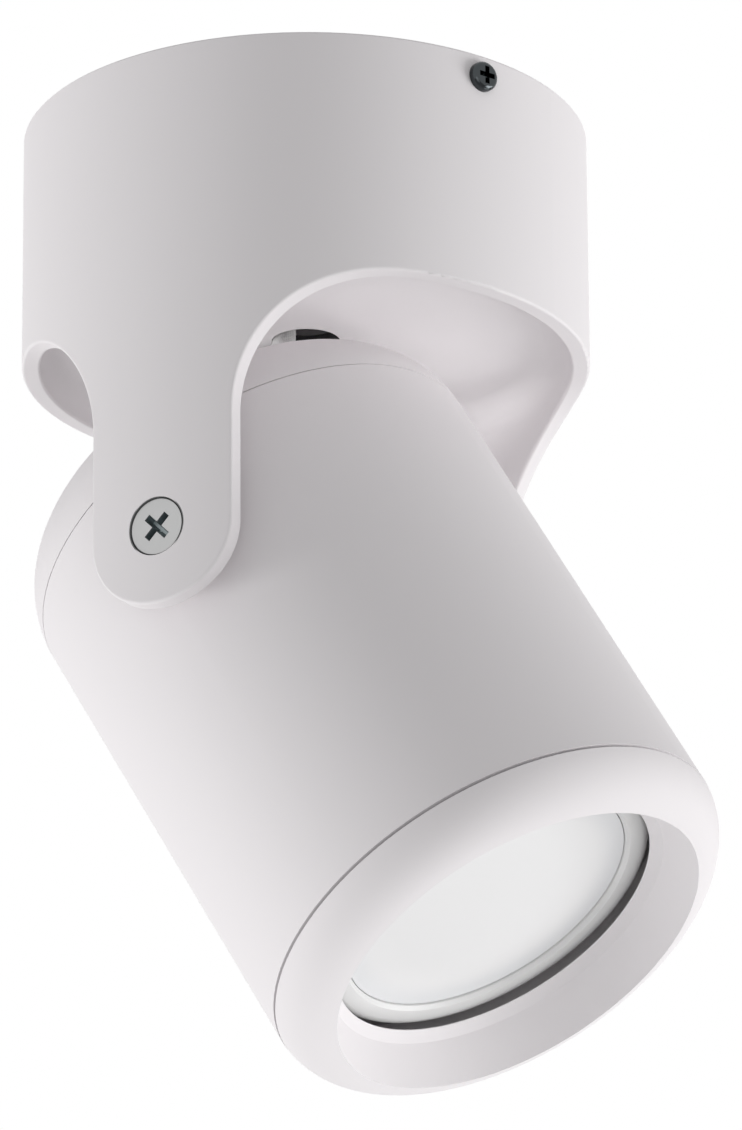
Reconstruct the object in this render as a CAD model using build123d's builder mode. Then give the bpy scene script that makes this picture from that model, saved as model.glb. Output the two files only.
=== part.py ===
"""Surface mounted ceiling spotlight: a round base whose two ears carry a tilting lamp head.

Millimetres, +Z up. The origin is the centre of the base's ceiling face. The ears stand on the
Y axis, so the head tilts about Y, and at rest it leans from straight down towards +X.
Along the head, s runs from the pivot towards the light, and r is the distance from its axis.
"""
import os
from math import cos, radians, sin, sqrt, tan

from build123d import *

os.makedirs("parts", exist_ok=True)

# ---------------------------------------------------------------- driving dimensions

running_gap = 0.06      # between faces that turn or slide on each other
seam_gap = 0.15         # between the tube and the cap that closes it

# Base: a drum that hangs on a bracket and ends in two ears
base_wall = 2.6
base_depth = 34.6
base_edge_round = 0.4
rim_chamfer = 0.3
floor_depth = 28.0      # ceiling to the floor's upper face
floor_thickness = 2.0
floor_corner_round = 4.0
ear_half_width = 11.1
ear_root_round = 20.4
ear_gap = 3.8           # from the head's tube to the inside of the ears
ear_pad_radius = 5.5
ear_pad_height = 0.7
swing_gap = 2.131       # from the floor to the cap's corner as it swings past

# Bush that lines the cable hole in the floor from above
bush_bore_radius = 4.85
bush_neck_radius = 5.6
bush_flange_radius = 7.2
bush_flange_height = 1.0
bush_edge_round = 0.4
hole_lip = 0.6          # thickness of the floor's own edge under the bush

# Ceiling bracket, its tabs and the two side screws
bracket_thickness = 1.5
bracket_edge_gap = 2.0
bracket_bend_round = 1.0
tab_wall_gap = 0.7
tab_width = 10.0
tab_drop = 7.0
tab_azimuth = -21.6     # degrees from +X
side_screw_depth = 3.4
side_screw_radius = 1.25
side_screw_length = 7.0
side_screw_head_radius = 2.15
side_screw_head_height = 1.3
side_screw_clearance = 0.2
slot_spacing = 54.0
slot_length = 9.0
slot_width = 4.5
supply_hole_radius = 7.0

# Terminal block: three poles side by side along X
pole_pitch = 10.0
block_end_margin = 6.0
block_width = 16.0
block_height = 13.0
block_edge_gap = 10.4   # from the block to the bracket's edge
block_corner_round = 1.5
block_screw_clearance = 0.3
block_screw_radius = 1.5
block_screw_head_radius = 2.6
block_screw_head_height = 1.8
clamp_radius = 2.5
clamp_bore_radius = 1.5
clamp_inset = 1.0
clamp_web = 2.0
clamp_depth = 7.5       # bracket's lower face to the clamps' axis
terminal_screw_radius = 1.3
terminal_screw_length = 4.2
terminal_screw_offset = 4.0
terminal_screw_slot = 0.5
earth_screw_radius = 2.0
earth_screw_head_radius = 3.5
earth_screw_head_height = 2.4
earth_screw_place = (-14.0, -15.0)
screw_tip_margin = 0.2  # short of the ceiling or of a blind hole's end
lug_thickness = 0.7
lug_ring_radius = 3.8
lug_barrel_radius = 1.25
lug_barrel_length = 4.5
lug_barrel_start = 4.0  # from the ring's centre

# Head: a tube between a domed cap and a screwed front ring
rest_tilt = 31.0        # degrees from straight down towards +X
tube_radius = 33.6
tube_wall = 2.0
tube_rear = -14.8
tube_overrun = 2.1      # how far the tube ends in front of the lamp's face
tube_mouth_chamfer = 0.9
bush_spot_depth = 0.4

cap_round = 12.0
cap_wall = 2.2
cap_spigot_length = 6.0
cap_spigot_wall = 1.5
strap_boss_height = 3.0
strap_boss_offset = 20.0
earth_boss_height = 6.0
earth_boss_offset = 17.0
boss_radius = 3.8
boss_hole_depth = 4.5

# Pivot: on each side a screw, a washer and a threaded bush riveted into the tube
pivot_screw_radius = 2.0
pivot_screw_length = 9.2
pivot_head_radius = 3.95
pivot_head_margin = 0.25
pivot_head_land = 0.25
pivot_head_recess = 0.35
pivot_washer_thickness = 0.8
pivot_washer_radius = 5.2
pivot_collar_radius = 5.0
pivot_neck_radius = 3.5
pivot_rivet_radius = 4.3
pivot_rivet_height = 1.0
pivot_cross = (4.4, 1.05, 1.5)      # span, width and depth of the recess
side_cross = (2.6, 0.75, 0.9)

# Rubber grommet in the cap
grommet_hole_radius = 4.5
grommet_bore_radius = 1.85
grommet_flange_radius = 6.2
grommet_lip = 1.5

# Lamp holder and the strap that carries it
holder_radius = 14.0
holder_flat = 12.5
holder_front = 8.0
holder_length = 17.0
holder_plate = 3.4
cavity_floor = 0.2
lock_angle = 20.0
pin_offset = 5.0
pin_neck_radius = 1.6
pin_head_radius = 2.5
pin_head_length = 3.0
pin_clearance = 0.3
contact_gap = 0.2
contact_thickness = 0.6
contact_width = 4.4
contact_stem_radius = 1.0
contact_stem_length = 5.2
strap_width = 18.0
strap_thickness = 1.0
strap_half_span = 14.5
strap_foot_length = 9.5
strap_bend_round = 1.2
strap_window_radius = 6.5
m3_radius = 1.5
m3_head_radius = 2.7
m3_head_height = 1.8
m3_slot = 0.8
holder_screw_offset = 9.6
holder_screw_length = 7.0
strap_screw_length = 5.0

# Lamp, on two pins that twist-lock in the holder
lamp_radius = 25.0
lamp_length = 47.0      # from its base's rear face to its front face
lamp_rim_round = 1.4
lamp_rim_width = 3.9
lamp_rim_chamfer = 0.5
lamp_rim_height = 3.6
lamp_flare_round = 60.0
lamp_base_gap = 0.3
lamp_base_radius = 10.5
lamp_base_length = 13.0
lamp_base_spigot = 2.5
lamp_throat_radius = 13.0
lamp_wall = 1.3
lens_drop = 0.8
lens_thickness = 1.5
lens_ledge = 1.2
lens_gap = 0.1
web_depth = 5.2         # lens's rear face to the web behind the light source
web_thickness = 2.0
led_board_thickness = 1.2
led_board_gap = 0.6
driver_width = 14.0
driver_thickness = 1.4
driver_length = 19.0

# Front ring
ring_round = 7.9
ring_proud = 0.05       # how far it stands out beyond the tube
ring_round_back = 0.85  # from the tube's front back to the rounding's centre
mouth_turn = 1.7        # from the rounding's centre out to the mouth's edge
band_width = 1.4
band_rise = 1.2
aperture_cover = 1.2    # how far the lip covers the lamp's rim
aperture_gap = 1.7      # from the lamp's face to the lip's edge
aperture_land = 0.15
lip_thickness = 0.8
ring_hollow_chamfer = 1.3
spigot_length = 7.0
spigot_wall = 2.0
ring_seam = 0.45
seal_radius = 0.55

# Leads between the terminal block and the lamp holder
lead_radius = 0.6
bundle_radius = 0.76
sleeve_radius = 1.65
sleeve_bore_radius = 1.42
sleeve_place = (-2.6, -1.6)     # X and Y of the sleeve in the bush
sleeve_top = -17.5
bundle_top = -13.0
lower_bend_drop = 3.5   # from the floor down to the bundle's lower bend
lower_bend_round = 6.0
cap_approach = 6.7      # how far behind the cap the bundle turns into the grommet
cap_bend_round = 4.9
bundle_end = -18.0      # s where the bundle fans out inside the head
sleeve_end = -21.0
clamp_turn_gap = 7.0    # in front of the block, where a lead turns into its clamp
jumper_turn_gap = 11.0
fan_length = 6.0
lead_bend_limit = 5.0
earth_bend_limit = 3.2
jumper_run = 7.8

# ---------------------------------------------------------------- derived places

sides = (-1, 1)
base_inner_radius = tube_radius + ear_gap
base_radius = base_inner_radius + base_wall
floor_underside = -floor_depth - floor_thickness
bush_end = floor_underside + hole_lip
bush_top = -floor_depth + bush_flange_height
bracket_radius = base_inner_radius - bracket_edge_gap
bracket_underside = -bracket_thickness
tab_face = base_inner_radius - tab_wall_gap
side_turns = (tab_azimuth, tab_azimuth + 180)
cap_start = tube_rear - seam_gap
cap_reach = sqrt((tube_radius - cap_round) ** 2 + cap_start**2) + cap_round
pivot_depth = swing_gap + cap_reach - floor_underside

block_front = bracket_radius - block_edge_gap - block_width
block_length = 2 * (pole_pitch + block_end_margin)
block_middle = block_front + block_width / 2
block_underside = bracket_underside - block_height
block_screw_seat = block_underside + block_screw_head_height
block_screw_length = -block_screw_seat - screw_tip_margin
clamp_height = bracket_underside - clamp_depth
clamp_length = block_width - 2 * clamp_inset
clamp_bore_depth = (clamp_length - clamp_web) / 2
pole_places = (-pole_pitch, 0, pole_pitch)
terminal_rows = [block_middle + side * terminal_screw_offset for side in sides]
terminal_screw_places = [(x, y) for x in pole_places for y in terminal_rows]
block_screw_places = [(side * pole_pitch / 2, block_middle) for side in sides]
earth_screw_length = bracket_thickness + lug_thickness - screw_tip_margin

pivot = Vector(0, 0, -pivot_depth)
tilt_line = Axis(pivot, (0, 1, 0))
head_axis = Vector(sin(radians(rest_tilt)), 0, -cos(radians(rest_tilt)))
head_side = Vector(cos(radians(rest_tilt)), 0, sin(radians(rest_tilt)))
head_line = Axis(pivot, head_axis)
head_section = Plane(origin=pivot, x_dir=head_side, z_dir=(0, 1, 0))

tube_inner_radius = tube_radius - tube_wall
cap_face = cap_start - cap_round
cap_inner_face = cap_face + cap_wall
strap_boss_top = cap_inner_face + strap_boss_height
earth_boss_top = cap_inner_face + earth_boss_height

ear_pad_face = base_inner_radius - ear_pad_height
pivot_head_top = base_radius - pivot_head_recess
pivot_cone_end = pivot_head_top - pivot_head_land
pivot_cone_start = pivot_cone_end - (pivot_head_radius - pivot_screw_radius)
cone_shift = running_gap * sqrt(2)
washer_outer_face = ear_pad_face - running_gap
washer_inner_face = washer_outer_face - pivot_washer_thickness
tube_spot_face = tube_radius - bush_spot_depth
rivet_top = sqrt(tube_inner_radius**2 - pivot_rivet_radius**2)

holder_rear = holder_front - holder_length
pin_tip = cavity_floor + contact_thickness + contact_gap
lamp_base_rear = holder_front + lamp_base_gap
lamp_throat = lamp_base_rear + lamp_base_length
lamp_face = lamp_base_rear + lamp_length
lens_face = lamp_face - lens_drop
lens_rear = lens_face - lens_thickness
lens_radius = lamp_radius - lamp_rim_width
lamp_web_face = lens_rear - web_depth

tube_front = lamp_face + tube_overrun
ring_shoulder = tube_front + ring_seam
ring_round_radius = tube_radius + ring_proud - ring_round
ring_round_place = tube_front - ring_round_back
mouth_radius = ring_round_radius + mouth_turn
aperture_radius = lamp_radius - aperture_cover
aperture_place = lamp_face + aperture_gap
spigot_radius = tube_inner_radius - running_gap
spigot_inner_radius = spigot_radius - spigot_wall
spigot_end = ring_shoulder - spigot_length
seal_place = tube_front - 0.2
seal_ring_radius = tube_inner_radius - 0.2
seal_groove_radius = seal_ring_radius - seal_radius - running_gap
seal_groove_start = seal_place - seal_radius - running_gap

# ---------------------------------------------------------------- planes and common pieces


def head_plane(s):
    """Gives the plane across the head at s, with its normal towards the light."""
    return Plane(origin=pivot + head_axis * s, x_dir=head_side, z_dir=head_axis)


def head_point(side, y, s):
    """Gives the point at s along the head, side towards its upper edge, and y."""
    return pivot + head_axis * s + head_side * side + Vector(0, y, 0)


def head_spot(side, y, s):
    """Gives the plane at a point of the head, with its normal towards the light."""
    return Plane(origin=head_point(side, y, s), x_dir=head_side, z_dir=head_axis)


def ear_plane(side, reach):
    """Gives the plane across the tilt axis at the given reach along +Y or -Y, facing outwards."""
    return Plane(origin=pivot + Vector(0, side * reach, 0), z_dir=(0, side, 0))


def ear_section(side):
    """Gives a plane through the tilt axis: x is the distance from it, y the reach along +Y or -Y."""
    return Plane(origin=pivot, x_dir=(0, 0, 1), z_dir=(-side, 0, 0))


def side_plane(turn, reach):
    """Gives the plane that faces outwards at a side screw, at the given turn and reach."""
    outwards = Vector(cos(radians(turn)), sin(radians(turn)), 0)
    return Plane(origin=outwards * reach - Vector(0, 0, side_screw_depth), x_dir=(0, 0, 1), z_dir=outwards)


def downward_plane(x, y, z):
    """Gives the plane at a point that faces down, with its x direction along +Y."""
    return Plane(origin=(x, y, z), x_dir=(0, 1, 0), z_dir=(0, 0, -1))


def screw(shank_radius, shank_length, head_radius, head_height, slot_width=0.0):
    """Makes a pan-head screw: its head stands up from z = 0, its shank goes down."""
    with BuildPart() as body:
        Cylinder(shank_radius, shank_length, align=(Align.CENTER, Align.CENTER, Align.MAX))
        Cylinder(head_radius, head_height, align=(Align.CENTER, Align.CENTER, Align.MIN))
        fillet(body.faces().sort_by(Axis.Z)[-1].edges(), head_height * 0.6)
        if slot_width:
            with Locations((0, 0, head_height)):
                Box(3 * head_radius, slot_width, head_height, mode=Mode.SUBTRACT)
    return body.part


def cross(span, width, depth, turn=0):
    """Makes the form of a cross recess: it opens at z = 0 and narrows as it goes down."""
    with BuildPart() as body:
        with BuildSketch():
            for angle in (turn, turn + 90):
                Rectangle(span, width, rotation=angle)
        extrude(amount=-depth, taper=12)
    return body.part


def lug():
    """Makes a crimped ring lug: its ring lies on z = 0, its barrel points along +X."""
    with BuildPart() as body:
        with BuildSketch():
            Circle(lug_ring_radius)
            with Locations((lug_barrel_start / 2, 0)):
                Rectangle(lug_barrel_start + lug_thickness, 2 * lug_barrel_radius)
            Circle(earth_screw_radius, mode=Mode.SUBTRACT)
        extrude(amount=lug_thickness)
        barrel_place = (lug_barrel_start, 0, lug_barrel_radius)
        with Locations(Plane(origin=barrel_place, z_dir=(1, 0, 0))):
            Cylinder(lug_barrel_radius, lug_barrel_length, align=(Align.CENTER, Align.CENTER, Align.MIN))
            Cylinder(lead_radius, 3 * lug_barrel_length, mode=Mode.SUBTRACT)
    return body.part


def save(built, name):
    """Labels a finished piece and writes it to its own file."""
    built.part.label = name
    export_step(built.part, f"parts/{name}.step")


# ---------------------------------------------------------------- base housing

# The wall is a tube cut to the outline that the drum and the ears have when seen along Y
with BuildPart() as base_housing:
    with BuildSketch():
        Circle(base_radius)
        Circle(base_inner_radius, mode=Mode.SUBTRACT)
    extrude(amount=-(pivot_depth + ear_half_width))
    with BuildSketch(Plane.XZ) as side_outline:
        with Locations((0, -base_depth / 2)):
            Rectangle(2 * base_radius + 2, base_depth)
        with Locations((0, -(base_depth + pivot_depth) / 2)):
            Rectangle(2 * ear_half_width, pivot_depth - base_depth)
        root_corners = side_outline.vertices().filter_by(
            lambda v: abs(v.Y + base_depth) < 0.001 and abs(abs(v.X) - ear_half_width) < 0.001
        )
        fillet(root_corners, ear_root_round)
        with Locations((0, -pivot_depth)):
            Circle(ear_half_width)
    extrude(amount=base_radius + 1, both=True, mode=Mode.INTERSECT)
    rim = base_housing.edges().filter_by(lambda e: abs(e.center().Z) < 0.001)
    chamfer(rim, rim_chamfer)
    outline = base_housing.edges().filter_by(lambda e: e.center().Z < -base_depth + 0.01)
    fillet(outline, base_edge_round)
    # the floor, with the stepped hole that the bush lines
    with BuildSketch(Plane.XY.offset(floor_underside)):
        Circle(base_inner_radius + base_wall / 2)
    extrude(amount=floor_thickness)
    with Locations((0, 0, floor_underside)):
        Cylinder(bush_bore_radius, 3 * floor_thickness, mode=Mode.SUBTRACT)
    with Locations((0, 0, bush_end)):
        seat_align = (Align.CENTER, Align.CENTER, Align.MIN)
        Cylinder(bush_neck_radius, floor_thickness, align=seat_align, mode=Mode.SUBTRACT)
    under_corner = base_housing.edges().filter_by(GeomType.CIRCLE).filter_by(
        lambda e: abs(e.center().Z - floor_underside) < 0.01 and e.radius > bush_flange_radius
    )
    fillet(under_corner, floor_corner_round)
    # flat pads inside the ears
    with Locations(*[ear_plane(side, ear_pad_face) for side in sides]):
        pad_depth = ear_pad_height + base_wall / 2
        Cylinder(ear_pad_radius, pad_depth, align=(Align.CENTER, Align.CENTER, Align.MIN))
    # countersunk pivot holes through the pads and the ears
    for side in sides:
        with BuildSketch(ear_section(side)):
            hole_radius = pivot_screw_radius + running_gap
            ring_radius = pivot_head_radius + pivot_head_margin
            step = pivot_cone_end - pivot_head_margin
            with BuildLine():
                Polyline(
                    (0, ear_pad_face - 1),
                    (hole_radius, ear_pad_face - 1),
                    (hole_radius, pivot_cone_start + running_gap - cone_shift),
                    (pivot_head_radius - pivot_head_margin + cone_shift, step),
                    (ring_radius, step),
                    (ring_radius, base_radius + 1),
                    (0, base_radius + 1),
                    close=True,
                )
            make_face()
        revolve(axis=tilt_line, mode=Mode.SUBTRACT)
    # clearance holes for the two side screws
    with Locations(*[side_plane(turn, base_radius) for turn in side_turns]):
        Cylinder(side_screw_radius + side_screw_clearance, 3 * base_wall, mode=Mode.SUBTRACT)
save(base_housing, "base_housing")

with BuildPart() as cable_bush:
    with BuildSketch(Plane.XZ) as bush_profile:
        with BuildLine():
            Polyline(
                (bush_bore_radius, bush_end),
                (bush_neck_radius, bush_end),
                (bush_neck_radius, -floor_depth),
                (bush_flange_radius, -floor_depth),
                (bush_flange_radius, bush_top),
                (bush_bore_radius, bush_top),
                close=True,
            )
        make_face()
        fillet(bush_profile.vertices().group_by(Axis.Y)[-1], bush_edge_round)
    revolve(axis=Axis.Z)
save(cable_bush, "cable_bush")

# ---------------------------------------------------------------- ceiling bracket and side screws

with BuildPart() as mounting_bracket:
    with BuildSketch():
        Circle(bracket_radius)
        Rectangle(2 * tab_face, tab_width, rotation=tab_azimuth)
        Circle(supply_hole_radius, mode=Mode.SUBTRACT)
        with Locations((-slot_spacing / 2, 0), (slot_spacing / 2, 0)):
            SlotOverall(slot_length, slot_width, mode=Mode.SUBTRACT)
        with Locations(*block_screw_places):
            Circle(block_screw_radius, mode=Mode.SUBTRACT)
        with Locations(earth_screw_place):
            Circle(earth_screw_radius, mode=Mode.SUBTRACT)
    extrude(amount=-bracket_thickness)
    with PolarLocations(tab_face - bracket_thickness / 2, 2, start_angle=tab_azimuth):
        Box(bracket_thickness, tab_width, tab_drop, align=(Align.CENTER, Align.CENTER, Align.MAX))
    bends = mounting_bracket.edges().filter_by(GeomType.LINE).filter_by(
        lambda e: abs(e.center().Z) < 0.001 and abs(e.center().length - tab_face) < 0.01
    )
    fillet(bends, bracket_bend_round)
    with Locations(*[side_plane(turn, tab_face) for turn in side_turns]):
        Cylinder(side_screw_radius, 4 * bracket_thickness, mode=Mode.SUBTRACT)
save(mounting_bracket, "mounting_bracket")

side_screw = screw(side_screw_radius, side_screw_length, side_screw_head_radius, side_screw_head_height)
side_recess = cross(*side_cross)
with BuildPart() as housing_screws:
    with Locations(*[side_plane(turn, base_radius) for turn in side_turns]):
        add(side_screw)
    with Locations(*[side_plane(turn, base_radius + side_screw_head_height) for turn in side_turns]):
        add(side_recess, mode=Mode.SUBTRACT)
save(housing_screws, "housing_screws")

# ---------------------------------------------------------------- terminal block and earth point

pole_planes = [Plane(origin=(x, block_middle, clamp_height), z_dir=(0, 1, 0)) for x in pole_places]

with BuildPart() as terminal_block:
    with Locations((0, block_middle, bracket_underside)):
        Box(block_length, block_width, block_height, align=(Align.CENTER, Align.CENTER, Align.MAX))
    fillet(terminal_block.edges().filter_by(Axis.Z), block_corner_round)
    with Locations(*pole_planes):
        Cylinder(clamp_radius, block_width, mode=Mode.SUBTRACT)
    with Locations(*[(x, y, block_underside) for x, y in terminal_screw_places]):
        access_radius = terminal_screw_radius + block_screw_clearance
        Cylinder(access_radius, 2 * (clamp_height - block_underside), mode=Mode.SUBTRACT)
    with Locations(*[(x, y, block_underside) for x, y in block_screw_places]):
        head_room = block_screw_head_radius + block_screw_clearance
        Cylinder(block_screw_radius, 3 * block_height, mode=Mode.SUBTRACT)
        Cylinder(head_room, 2 * block_screw_head_height, mode=Mode.SUBTRACT)
save(terminal_block, "terminal_block")

with BuildPart() as terminal_clamps:
    with Locations(*pole_planes):
        Cylinder(clamp_radius, clamp_length)
        Cylinder(clamp_bore_radius, clamp_length, mode=Mode.SUBTRACT)
        Cylinder(clamp_bore_radius, clamp_web)
    with Locations(*[(x, y, clamp_height) for x, y in terminal_screw_places]):
        tap_align = (Align.CENTER, Align.CENTER, Align.MAX)
        Cylinder(terminal_screw_radius, 2 * clamp_radius, align=tap_align, mode=Mode.SUBTRACT)
save(terminal_clamps, "terminal_clamps")

# The screws on the lamp side press on the leads, and those on the supply side stand open
with BuildPart() as terminal_screws:
    for x, y in terminal_screw_places:
        grip = clamp_bore_radius if y > block_middle else lead_radius
        tip = clamp_height - grip - running_gap
        with Locations((x, y, tip)):
            screw_align = (Align.CENTER, Align.CENTER, Align.MAX)
            Cylinder(terminal_screw_radius, terminal_screw_length, align=screw_align)
        with Locations((x, y, tip - terminal_screw_length)):
            Box(3 * terminal_screw_radius, terminal_screw_slot, terminal_screw_radius, mode=Mode.SUBTRACT)
save(terminal_screws, "terminal_screws")

block_screw = screw(
    block_screw_radius, block_screw_length, block_screw_head_radius, block_screw_head_height, m3_slot
)
with BuildPart() as terminal_block_screws:
    with Locations(*[downward_plane(x, y, block_screw_seat) for x, y in block_screw_places]):
        add(block_screw)
save(terminal_block_screws, "terminal_block_screws")

earth_screw = screw(
    earth_screw_radius, earth_screw_length, earth_screw_head_radius, earth_screw_head_height, m3_slot
)
with BuildPart() as bracket_earth_screw:
    with Locations(downward_plane(*earth_screw_place, bracket_underside - lug_thickness)):
        add(earth_screw)
save(bracket_earth_screw, "bracket_earth_screw")

ring_lug = lug()
with BuildPart() as bracket_earth_lug:
    with Locations(downward_plane(*earth_screw_place, bracket_underside)):
        add(ring_lug)
save(bracket_earth_lug, "bracket_earth_lug")

# ---------------------------------------------------------------- head tube, cap and grommet

with BuildPart() as head_tube:
    with BuildSketch(head_section):
        with BuildLine():
            Polyline(
                (tube_inner_radius, tube_rear),
                (tube_radius, tube_rear),
                (tube_radius, tube_front),
                (tube_inner_radius + tube_mouth_chamfer, tube_front),
                (tube_inner_radius, tube_front - tube_mouth_chamfer),
                close=True,
            )
        make_face()
    revolve(axis=head_line)
    with Locations(*[ear_plane(side, tube_spot_face) for side in sides]):
        spot_radius = pivot_collar_radius + running_gap
        spot_align = (Align.CENTER, Align.CENTER, Align.MIN)
        Cylinder(spot_radius, 2 * tube_wall, align=spot_align, mode=Mode.SUBTRACT)
        Cylinder(pivot_neck_radius, 4 * tube_wall, mode=Mode.SUBTRACT)
save(head_tube, "head_tube")

with BuildPart() as rear_cap:
    with BuildSketch(head_section):
        round_centre = tube_radius - cap_round
        diagonal = cap_round * sqrt(0.5)
        with BuildLine():
            ThreePointArc(
                (round_centre, cap_face),
                (round_centre + diagonal, cap_start - diagonal),
                (tube_radius, cap_start),
            )
            Polyline(
                (tube_radius, cap_start),
                (tube_inner_radius, cap_start),
                (tube_inner_radius, cap_start + cap_spigot_length),
                (0, cap_start + cap_spigot_length),
                (0, cap_face),
                (round_centre, cap_face),
            )
        make_face()
    revolve(axis=head_line)
    # hollow it from the front, leaving the wall
    with BuildSketch(head_section) as hollow:
        hollow_radius = tube_inner_radius - cap_spigot_wall
        hollow_length = cap_start + cap_spigot_length - cap_inner_face
        with Locations((0, cap_inner_face)):
            Rectangle(hollow_radius, hollow_length, align=(Align.MIN, Align.MIN))
        fillet(hollow.vertices().sort_by(Axis.X)[-2:].sort_by(Axis.Y)[0], cap_round - cap_wall)
    revolve(axis=head_line, mode=Mode.SUBTRACT)
    # bosses for the strap's feet and for the earth screw, each with a blind hole
    with Locations(*[head_spot(side * strap_boss_offset, 0, strap_boss_top) for side in sides]):
        boss_align = (Align.CENTER, Align.CENTER, Align.MAX)
        Cylinder(boss_radius, strap_boss_height + cap_wall / 2, align=boss_align)
        Cylinder(m3_radius, boss_hole_depth, align=boss_align, mode=Mode.SUBTRACT)
    with Locations(head_spot(0, earth_boss_offset, earth_boss_top)):
        Cylinder(boss_radius, earth_boss_height + cap_wall / 2, align=boss_align)
        Cylinder(earth_screw_radius, boss_hole_depth, align=boss_align, mode=Mode.SUBTRACT)
    with Locations(head_plane(cap_face)):
        Cylinder(grommet_hole_radius, 3 * cap_wall, mode=Mode.SUBTRACT)
save(rear_cap, "rear_cap")

with BuildPart() as rear_grommet:
    with BuildSketch(head_section) as grommet_profile:
        with Locations((0, cap_face - grommet_lip)):
            Rectangle(grommet_flange_radius, cap_wall + 2 * grommet_lip, align=(Align.MIN, Align.MIN))
        fillet(grommet_profile.vertices().sort_by(Axis.X)[-2:], grommet_lip * 0.6)
        with Locations((grommet_hole_radius, cap_face)):
            Rectangle(grommet_flange_radius, cap_wall, align=(Align.MIN, Align.MIN), mode=Mode.SUBTRACT)
        Rectangle(2 * grommet_bore_radius, 8 * cap_round, mode=Mode.SUBTRACT)
    revolve(axis=head_line)
save(rear_grommet, "rear_grommet")

# ---------------------------------------------------------------- pivots

pivot_recess = cross(*pivot_cross, turn=45)
with BuildPart() as pivot_screws:
    for side in sides:
        with BuildSketch(ear_section(side)):
            with BuildLine():
                Polyline(
                    (0, pivot_head_top - pivot_screw_length),
                    (pivot_screw_radius, pivot_head_top - pivot_screw_length),
                    (pivot_screw_radius, pivot_cone_start),
                    (pivot_head_radius, pivot_cone_end),
                    (pivot_head_radius, pivot_head_top),
                    (0, pivot_head_top),
                    close=True,
                )
            make_face()
        revolve(axis=tilt_line)
    with Locations(*[ear_plane(side, pivot_head_top) for side in sides]):
        add(pivot_recess, mode=Mode.SUBTRACT)
save(pivot_screws, "pivot_screws")

with BuildPart() as pivot_washers:
    with Locations(*[ear_plane(side, washer_inner_face) for side in sides]):
        washer_align = (Align.CENTER, Align.CENTER, Align.MIN)
        Cylinder(pivot_washer_radius, pivot_washer_thickness, align=washer_align)
        Cylinder(pivot_screw_radius, 3 * pivot_washer_thickness, mode=Mode.SUBTRACT)
save(pivot_washers, "pivot_washers")

with BuildPart() as pivot_bushes:
    for side in sides:
        with BuildSketch(ear_section(side)):
            with BuildLine():
                Polyline(
                    (pivot_screw_radius, rivet_top - pivot_rivet_height),
                    (pivot_rivet_radius, rivet_top - pivot_rivet_height),
                    (pivot_rivet_radius, rivet_top),
                    (pivot_neck_radius, rivet_top),
                    (pivot_neck_radius, tube_spot_face),
                    (pivot_collar_radius, tube_spot_face),
                    (pivot_collar_radius, washer_inner_face),
                    (pivot_screw_radius, washer_inner_face),
                    close=True,
                )
            make_face()
        revolve(axis=tilt_line)
save(pivot_bushes, "pivot_bushes")

# ---------------------------------------------------------------- lamp holder

# Each lamp pin follows an arc from its locked place to its entry
pin_turns = (90, 270)
pin_paths = [CenterArc((0, 0), pin_offset, turn, lock_angle) for turn in pin_turns]

with BuildPart() as lamp_holder:
    with BuildSketch(head_plane(holder_rear)):
        Circle(holder_radius)
        Rectangle(2 * holder_flat, 2 * holder_radius, mode=Mode.INTERSECT)
    extrude(amount=holder_length)
    with BuildSketch(head_plane(cavity_floor)):
        for path in pin_paths:
            SlotArc(path, 2 * (pin_head_radius + pin_clearance))
    extrude(amount=holder_front - holder_plate - cavity_floor, mode=Mode.SUBTRACT)
    with BuildSketch(head_plane(holder_front)):
        for path in pin_paths:
            SlotArc(path, 2 * (pin_neck_radius + pin_clearance))
        with PolarLocations(pin_offset, 2, start_angle=pin_turns[0] + lock_angle):
            Circle(pin_head_radius + pin_clearance)
    extrude(amount=-holder_plate, mode=Mode.SUBTRACT)
    with BuildSketch(head_plane(holder_rear)):
        with PolarLocations(pin_offset, 2, start_angle=pin_turns[0]):
            Circle(contact_stem_radius)
    extrude(amount=cavity_floor - holder_rear, mode=Mode.SUBTRACT)
    with BuildSketch(head_plane(holder_rear)):
        with PolarLocations(holder_screw_offset, 2):
            Circle(m3_radius)
    extrude(amount=holder_screw_length, mode=Mode.SUBTRACT)
save(lamp_holder, "lamp_holder")

with BuildPart() as holder_contacts:
    with BuildSketch(head_plane(cavity_floor)):
        for path in pin_paths:
            SlotArc(path, contact_width)
    extrude(amount=contact_thickness)
    with BuildSketch(head_plane(cavity_floor)):
        with PolarLocations(pin_offset, 2, start_angle=pin_turns[0]):
            Circle(contact_stem_radius)
    extrude(amount=-contact_stem_length)
save(holder_contacts, "holder_contacts")

with BuildPart() as holder_strap:
    with BuildSketch(head_section):
        half = strap_thickness / 2
        foot_end = strap_half_span + strap_foot_length
        with BuildLine():
            FilletPolyline(
                (-foot_end, strap_boss_top + half),
                (-strap_half_span, strap_boss_top + half),
                (-strap_half_span, holder_rear - half),
                (strap_half_span, holder_rear - half),
                (strap_half_span, strap_boss_top + half),
                (foot_end, strap_boss_top + half),
                radius=strap_bend_round,
            )
        trace(line_width=strap_thickness)
    extrude(amount=strap_width / 2, both=True)
    with Locations(head_plane(holder_rear)):
        Cylinder(strap_window_radius, 4 * strap_thickness, mode=Mode.SUBTRACT)
    with Locations(*[head_spot(side * holder_screw_offset, 0, holder_rear) for side in sides]):
        Cylinder(m3_radius, 4 * strap_thickness, mode=Mode.SUBTRACT)
    with Locations(*[head_spot(side * strap_boss_offset, 0, strap_boss_top) for side in sides]):
        Cylinder(m3_radius, 4 * strap_thickness, mode=Mode.SUBTRACT)
save(holder_strap, "holder_strap")

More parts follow.
